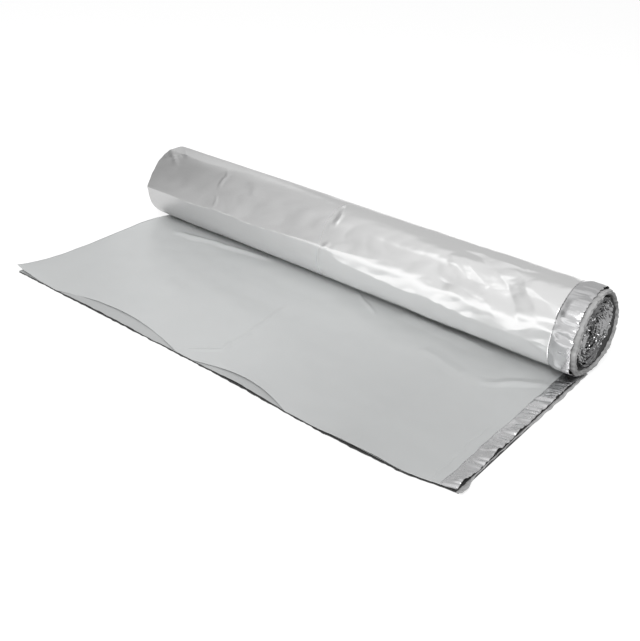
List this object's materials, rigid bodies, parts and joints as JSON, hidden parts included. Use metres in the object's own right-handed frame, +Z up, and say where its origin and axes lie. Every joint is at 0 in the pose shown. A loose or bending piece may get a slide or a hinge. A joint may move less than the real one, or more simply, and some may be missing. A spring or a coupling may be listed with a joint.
{
  "type": "insulation roll",
  "caption": "Partly unrolled roll of foil-faced multi-layer quilt: a flat tail with a cut, layered end and a seamed edge runs under a wound roll with an open core.",
  "frame": {"origin": "floor level, in the middle of the footprint of the roll and its unrolled tail", "axes": "+X along the roll towards its seamed end, +Y from the cut end towards the roll, +Z up"},
  "size_m": [1.2, 0.596, 0.186],
  "materials": {
    "foil_film": "satin metallised film with soft creases"
  },
  "bodies": {
    "root": {"insulation_roll": "foil_film"}
  },
  "joints": []
}
